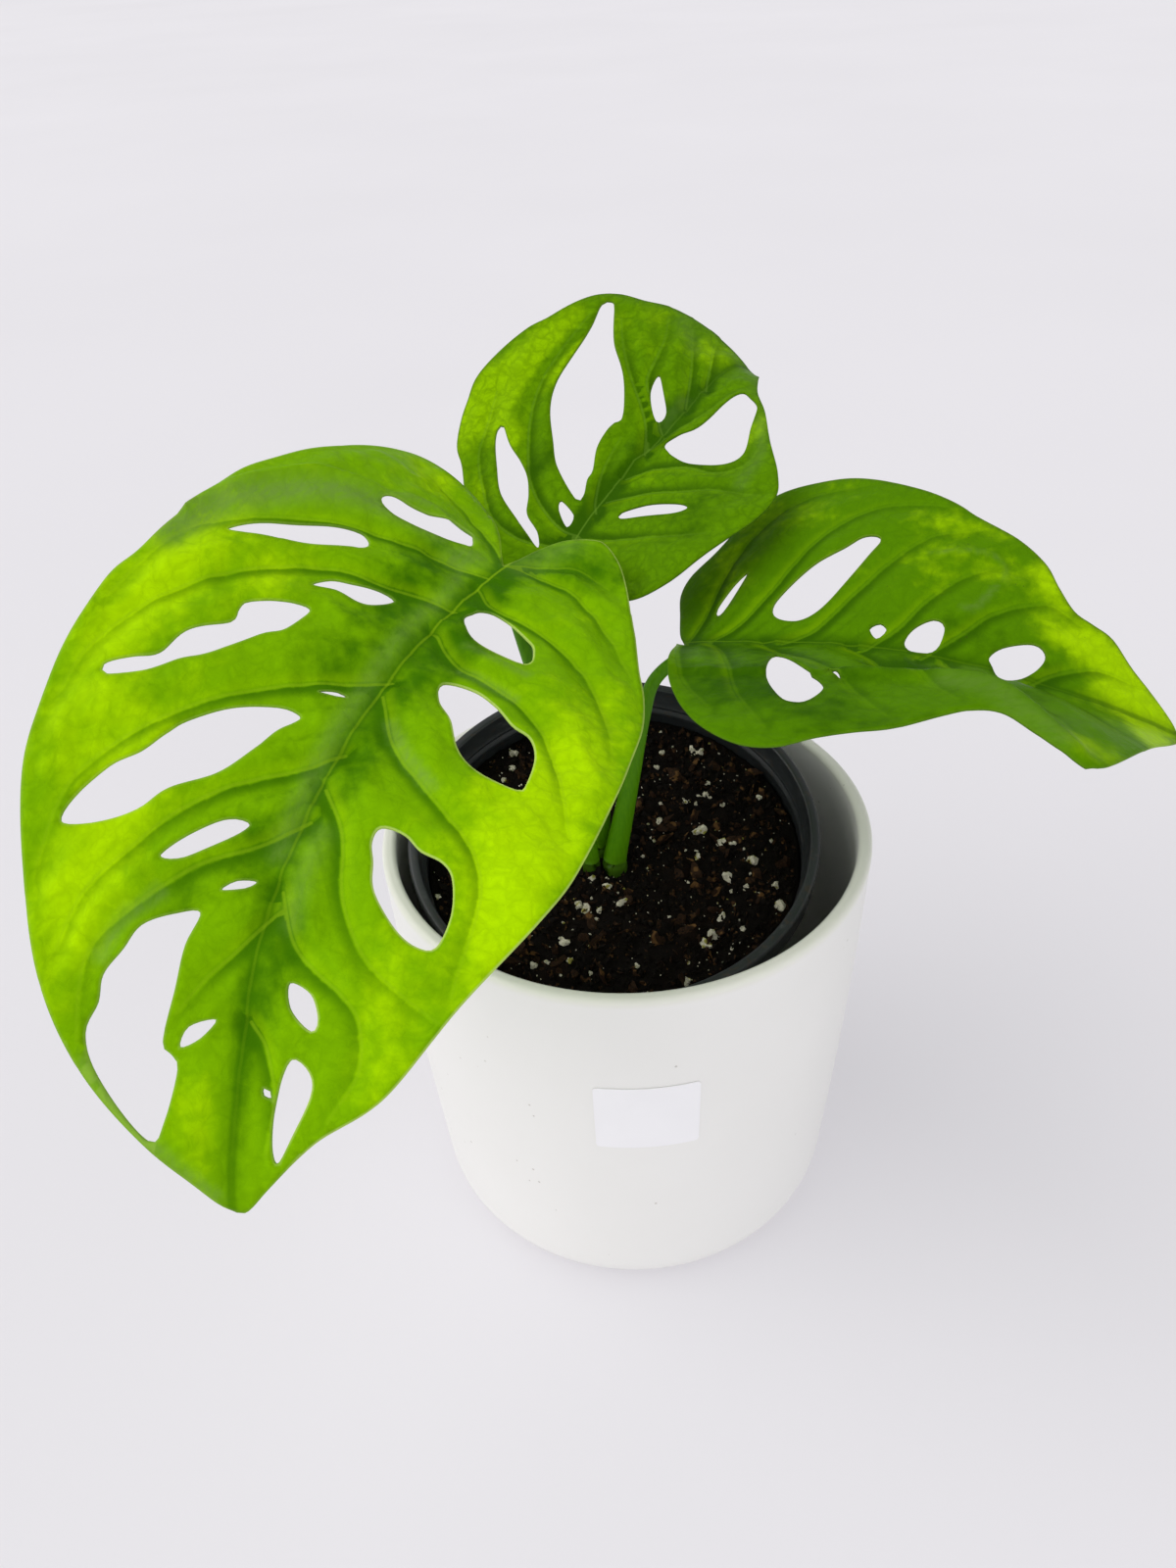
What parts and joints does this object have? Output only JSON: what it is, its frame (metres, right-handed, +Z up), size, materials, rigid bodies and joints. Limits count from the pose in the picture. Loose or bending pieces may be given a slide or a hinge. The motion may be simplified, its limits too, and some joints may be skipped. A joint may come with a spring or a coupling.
{
  "type": "potted monstera adansonii",
  "caption": "Young monstera adansonii with holed, arching leaves on slim petioles, in a black nursery pot of soil inside a plain round white cover pot.",
  "frame": {"origin": "centre of the cover pot's flat underside", "axes": "+Z up along the cover pot's axis; -Y is the front, where the paper label is; +X is to the right seen from the front"},
  "size_m": [0.2509, 0.2604, 0.2548],
  "materials": {
    "ceramic": "satin",
    "plastic": "satin",
    "soil": "matte",
    "paper": "matte",
    "petiole": "satin",
    "leaf_bright": "satin",
    "leaf_deep": "satin"
  },
  "bodies": {
    "root": {"cover_pot": "ceramic", "nursery_pot": "plastic", "soil": "soil", "blank_label": "paper", "petiole_left": "petiole", "petiole_back": "petiole", "petiole_right": "petiole", "leaf_left": "leaf_bright", "leaf_back": "leaf_deep", "leaf_right": "leaf_deep"}
  },
  "joints": []
}
